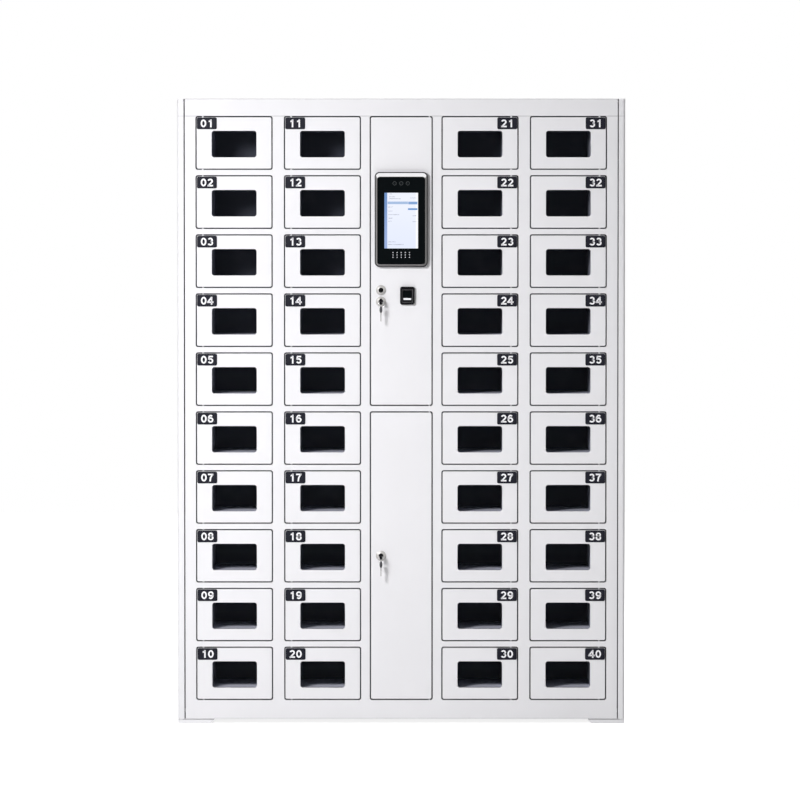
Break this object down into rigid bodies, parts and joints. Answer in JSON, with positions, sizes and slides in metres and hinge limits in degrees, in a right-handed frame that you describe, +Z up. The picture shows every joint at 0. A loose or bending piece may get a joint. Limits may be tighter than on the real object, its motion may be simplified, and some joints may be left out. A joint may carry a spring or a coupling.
{
  "type": "cell phone locker",
  "caption": "Free-standing steel locker with small numbered window doors for phones, a face terminal, a fingerprint reader and two service doors in a middle column.",
  "frame": {"origin": "on the floor under the middle of the whole object's box", "axes": "+Z up, -Y towards the user in front of the doors, +X to the user's right"},
  "size_m": [0.88, 0.23, 1.23],
  "materials": {
    "cabinet_paint": "satin white powder coat",
    "door_paint": "satin white powder coat",
    "cell_lining": "dark matt coat",
    "window_pane": "clear polished acrylic",
    "number_plate": "satin charcoal plastic",
    "number_ink": "flat white print",
    "terminal_case": "satin anodised",
    "terminal_glass": "polished black",
    "terminal_screen": "lit screen, blank page",
    "key_head": "moulded dark grey",
    "reader_case": "satin black",
    "lock_metal": "polished",
    "lock_plug": "satin black",
    "key_metal": "nickel plated",
    "latch_metal": "zinc plated",
    "foot_paint": "satin white powder coat",
    "electronics_case": "matt dark grey",
    "grommet_rubber": "matt black"
  },
  "bodies": {
    "cabinet": {"cabinet_shell": "cabinet_paint", "front_grid": "cabinet_paint", "phone_cells": "cell_lining", "back_panel": "cabinet_paint", "electric_locks": "latch_metal", "feet": "foot_paint", "control_electronics": "electronics_case", "cable_grommet": "grommet_rubber"},
    "door_01": {"door_01": "door_paint"},
    "door_02": {"door_02": "door_paint"},
    "door_03": {"door_03": "door_paint"},
    "door_04": {"door_04": "door_paint"},
    "door_05": {"door_05": "door_paint"},
    "door_06": {"door_06": "door_paint"},
    "door_07": {"door_07": "door_paint"},
    "door_08": {"door_08": "door_paint"},
    "door_09": {"door_09": "door_paint"},
    "door_10": {"door_10": "door_paint"},
    "door_11": {"door_11": "door_paint"},
    "door_12": {"door_12": "door_paint"},
    "door_13": {"door_13": "door_paint"},
    "door_14": {"door_14": "door_paint"},
    "door_15": {"door_15": "door_paint"},
    "door_16": {"door_16": "door_paint"},
    "door_17": {"door_17": "door_paint"},
    "door_18": {"door_18": "door_paint"},
    "door_19": {"door_19": "door_paint"},
    "door_20": {"door_20": "door_paint"},
    "door_21": {"door_21": "door_paint"},
    "door_22": {"door_22": "door_paint"},
    "door_23": {"door_23": "door_paint"},
    "door_24": {"door_24": "door_paint"},
    "door_25": {"door_25": "door_paint"},
    "door_26": {"door_26": "door_paint"},
    "door_27": {"door_27": "door_paint"},
    "door_28": {"door_28": "door_paint"},
    "door_29": {"door_29": "door_paint"},
    "door_30": {"door_30": "door_paint"},
    "door_31": {"door_31": "door_paint"},
    "door_32": {"door_32": "door_paint"},
    "door_33": {"door_33": "door_paint"},
    "door_34": {"door_34": "door_paint"},
    "door_35": {"door_35": "door_paint"},
    "door_36": {"door_36": "door_paint"},
    "door_37": {"door_37": "door_paint"},
    "door_38": {"door_38": "door_paint"},
    "door_39": {"door_39": "door_paint"},
    "door_40": {"door_40": "door_paint"},
    "upper_service_door": {"upper_service_door": "door_paint", "face_terminal": "terminal_case", "terminal_glass": "terminal_glass", "fingerprint_reader": "reader_case", "upper_lock_barrels": "lock_metal"},
    "lower_service_door": {"lower_service_door": "door_paint", "lower_lock_barrel": "lock_metal"},
    "switch_plug": {"switch_plug": "lock_plug"},
    "upper_lock_plug": {"upper_lock_plug": "key_metal"},
    "lower_lock_plug": {"lower_lock_plug": "key_metal"},
    "upper_key_ring": {"upper_key_ring": "key_metal"},
    "lower_key_ring": {"lower_key_ring": "key_metal"}
  },
  "joints": [
    {"name": "door_01_hinge", "type": "hinge", "parent": "cabinet", "child": "door_01", "pos_m": [-0.3896, -0.08, 1.14325], "axis": [0, 0, -1], "range_deg": [0, 100]},
    {"name": "door_02_hinge", "type": "hinge", "parent": "cabinet", "child": "door_02", "pos_m": [-0.3896, -0.08, 1.02725], "axis": [0, 0, -1], "range_deg": [0, 100]},
    {"name": "door_03_hinge", "type": "hinge", "parent": "cabinet", "child": "door_03", "pos_m": [-0.3896, -0.08, 0.91125], "axis": [0, 0, -1], "range_deg": [0, 100]},
    {"name": "door_04_hinge", "type": "hinge", "parent": "cabinet", "child": "door_04", "pos_m": [-0.3896, -0.08, 0.79525], "axis": [0, 0, -1], "range_deg": [0, 100]},
    {"name": "door_05_hinge", "type": "hinge", "parent": "cabinet", "child": "door_05", "pos_m": [-0.3896, -0.08, 0.67925], "axis": [0, 0, -1], "range_deg": [0, 100]},
    {"name": "door_06_hinge", "type": "hinge", "parent": "cabinet", "child": "door_06", "pos_m": [-0.3896, -0.08, 0.56325], "axis": [0, 0, -1], "range_deg": [0, 100]},
    {"name": "door_07_hinge", "type": "hinge", "parent": "cabinet", "child": "door_07", "pos_m": [-0.3896, -0.08, 0.44725], "axis": [0, 0, -1], "range_deg": [0, 100]},
    {"name": "door_08_hinge", "type": "hinge", "parent": "cabinet", "child": "door_08", "pos_m": [-0.3896, -0.08, 0.33125], "axis": [0, 0, -1], "range_deg": [0, 100]},
    {"name": "door_09_hinge", "type": "hinge", "parent": "cabinet", "child": "door_09", "pos_m": [-0.3896, -0.08, 0.21525], "axis": [0, 0, -1], "range_deg": [0, 100]},
    {"name": "door_10_hinge", "type": "hinge", "parent": "cabinet", "child": "door_10", "pos_m": [-0.3896, -0.08, 0.09925], "axis": [0, 0, -1], "range_deg": [0, 100]},
    {"name": "door_11_hinge", "type": "hinge", "parent": "cabinet", "child": "door_11", "pos_m": [-0.2161, -0.08, 1.14325], "axis": [0, 0, -1], "range_deg": [0, 100]},
    {"name": "door_12_hinge", "type": "hinge", "parent": "cabinet", "child": "door_12", "pos_m": [-0.2161, -0.08, 1.02725], "axis": [0, 0, -1], "range_deg": [0, 100]},
    {"name": "door_13_hinge", "type": "hinge", "parent": "cabinet", "child": "door_13", "pos_m": [-0.2161, -0.08, 0.91125], "axis": [0, 0, -1], "range_deg": [0, 100]},
    {"name": "door_14_hinge", "type": "hinge", "parent": "cabinet", "child": "door_14", "pos_m": [-0.2161, -0.08, 0.79525], "axis": [0, 0, -1], "range_deg": [0, 100]},
    {"name": "door_15_hinge", "type": "hinge", "parent": "cabinet", "child": "door_15", "pos_m": [-0.2161, -0.08, 0.67925], "axis": [0, 0, -1], "range_deg": [0, 100]},
    {"name": "door_16_hinge", "type": "hinge", "parent": "cabinet", "child": "door_16", "pos_m": [-0.2161, -0.08, 0.56325], "axis": [0, 0, -1], "range_deg": [0, 100]},
    {"name": "door_17_hinge", "type": "hinge", "parent": "cabinet", "child": "door_17", "pos_m": [-0.2161, -0.08, 0.44725], "axis": [0, 0, -1], "range_deg": [0, 100]},
    {"name": "door_18_hinge", "type": "hinge", "parent": "cabinet", "child": "door_18", "pos_m": [-0.2161, -0.08, 0.33125], "axis": [0, 0, -1], "range_deg": [0, 100]},
    {"name": "door_19_hinge", "type": "hinge", "parent": "cabinet", "child": "door_19", "pos_m": [-0.2161, -0.08, 0.21525], "axis": [0, 0, -1], "range_deg": [0, 100]},
    {"name": "door_20_hinge", "type": "hinge", "parent": "cabinet", "child": "door_20", "pos_m": [-0.2161, -0.08, 0.09925], "axis": [0, 0, -1], "range_deg": [0, 100]},
    {"name": "door_21_hinge", "type": "hinge", "parent": "cabinet", "child": "door_21", "pos_m": [0.2161, -0.08, 1.14325], "axis": [0, 0, 1], "range_deg": [0, 100]},
    {"name": "door_22_hinge", "type": "hinge", "parent": "cabinet", "child": "door_22", "pos_m": [0.2161, -0.08, 1.02725], "axis": [0, 0, 1], "range_deg": [0, 100]},
    {"name": "door_23_hinge", "type": "hinge", "parent": "cabinet", "child": "door_23", "pos_m": [0.2161, -0.08, 0.91125], "axis": [0, 0, 1], "range_deg": [0, 100]},
    {"name": "door_24_hinge", "type": "hinge", "parent": "cabinet", "child": "door_24", "pos_m": [0.2161, -0.08, 0.79525], "axis": [0, 0, 1], "range_deg": [0, 100]},
    {"name": "door_25_hinge", "type": "hinge", "parent": "cabinet", "child": "door_25", "pos_m": [0.2161, -0.08, 0.67925], "axis": [0, 0, 1], "range_deg": [0, 100]},
    {"name": "door_26_hinge", "type": "hinge", "parent": "cabinet", "child": "door_26", "pos_m": [0.2161, -0.08, 0.56325], "axis": [0, 0, 1], "range_deg": [0, 100]},
    {"name": "door_27_hinge", "type": "hinge", "parent": "cabinet", "child": "door_27", "pos_m": [0.2161, -0.08, 0.44725], "axis": [0, 0, 1], "range_deg": [0, 100]},
    {"name": "door_28_hinge", "type": "hinge", "parent": "cabinet", "child": "door_28", "pos_m": [0.2161, -0.08, 0.33125], "axis": [0, 0, 1], "range_deg": [0, 100]},
    {"name": "door_29_hinge", "type": "hinge", "parent": "cabinet", "child": "door_29", "pos_m": [0.2161, -0.08, 0.21525], "axis": [0, 0, 1], "range_deg": [0, 100]},
    {"name": "door_30_hinge", "type": "hinge", "parent": "cabinet", "child": "door_30", "pos_m": [0.2161, -0.08, 0.09925], "axis": [0, 0, 1], "range_deg": [0, 100]},
    {"name": "door_31_hinge", "type": "hinge", "parent": "cabinet", "child": "door_31", "pos_m": [0.3896, -0.08, 1.14325], "axis": [0, 0, 1], "range_deg": [0, 100]},
    {"name": "door_32_hinge", "type": "hinge", "parent": "cabinet", "child": "door_32", "pos_m": [0.3896, -0.08, 1.02725], "axis": [0, 0, 1], "range_deg": [0, 100]},
    {"name": "door_33_hinge", "type": "hinge", "parent": "cabinet", "child": "door_33", "pos_m": [0.3896, -0.08, 0.91125], "axis": [0, 0, 1], "range_deg": [0, 100]},
    {"name": "door_34_hinge", "type": "hinge", "parent": "cabinet", "child": "door_34", "pos_m": [0.3896, -0.08, 0.79525], "axis": [0, 0, 1], "range_deg": [0, 100]},
    {"name": "door_35_hinge", "type": "hinge", "parent": "cabinet", "child": "door_35", "pos_m": [0.3896, -0.08, 0.67925], "axis": [0, 0, 1], "range_deg": [0, 100]},
    {"name": "door_36_hinge", "type": "hinge", "parent": "cabinet", "child": "door_36", "pos_m": [0.3896, -0.08, 0.56325], "axis": [0, 0, 1], "range_deg": [0, 100]},
    {"name": "door_37_hinge", "type": "hinge", "parent": "cabinet", "child": "door_37", "pos_m": [0.3896, -0.08, 0.44725], "axis": [0, 0, 1], "range_deg": [0, 100]},
    {"name": "door_38_hinge", "type": "hinge", "parent": "cabinet", "child": "door_38", "pos_m": [0.3896, -0.08, 0.33125], "axis": [0, 0, 1], "range_deg": [0, 100]},
    {"name": "door_39_hinge", "type": "hinge", "parent": "cabinet", "child": "door_39", "pos_m": [0.3896, -0.08, 0.21525], "axis": [0, 0, 1], "range_deg": [0, 100]},
    {"name": "door_40_hinge", "type": "hinge", "parent": "cabinet", "child": "door_40", "pos_m": [0.3896, -0.08, 0.09925], "axis": [0, 0, 1], "range_deg": [0, 100]},
    {"name": "upper_service_door_hinge", "type": "hinge", "parent": "cabinet", "child": "upper_service_door", "pos_m": [0.0554, -0.082, 0.91125], "axis": [0, 0, 1], "range_deg": [0, 90]},
    {"name": "lower_service_door_hinge", "type": "hinge", "parent": "cabinet", "child": "lower_service_door", "pos_m": [0.0554, -0.082, 0.33125], "axis": [0, 0, 1], "range_deg": [0, 90]},
    {"name": "switch_plug_turn", "type": "hinge", "parent": "upper_service_door", "child": "switch_plug", "pos_m": [-0.0398, -0.085, 0.8542], "axis": [0, 1, 0], "range_deg": [0, 90]},
    {"name": "upper_lock_plug_turn", "type": "hinge", "parent": "upper_service_door", "child": "upper_lock_plug", "pos_m": [-0.0398, -0.085, 0.8318], "axis": [0, 1, 0], "range_deg": [0, 90]},
    {"name": "lower_lock_plug_turn", "type": "hinge", "parent": "lower_service_door", "child": "lower_lock_plug", "pos_m": [-0.0398, -0.085, 0.33125], "axis": [0, 1, 0], "range_deg": [0, 90]},
    {"name": "upper_key_ring_swing", "type": "hinge", "parent": "upper_lock_plug", "child": "upper_key_ring", "pos_m": [-0.0398, -0.1087, 0.8318], "axis": [1, 0, 0], "range_deg": [-60, 25]},
    {"name": "lower_key_ring_swing", "type": "hinge", "parent": "lower_lock_plug", "child": "lower_key_ring", "pos_m": [-0.0398, -0.1087, 0.33125], "axis": [1, 0, 0], "range_deg": [-60, 25]}
  ]
}
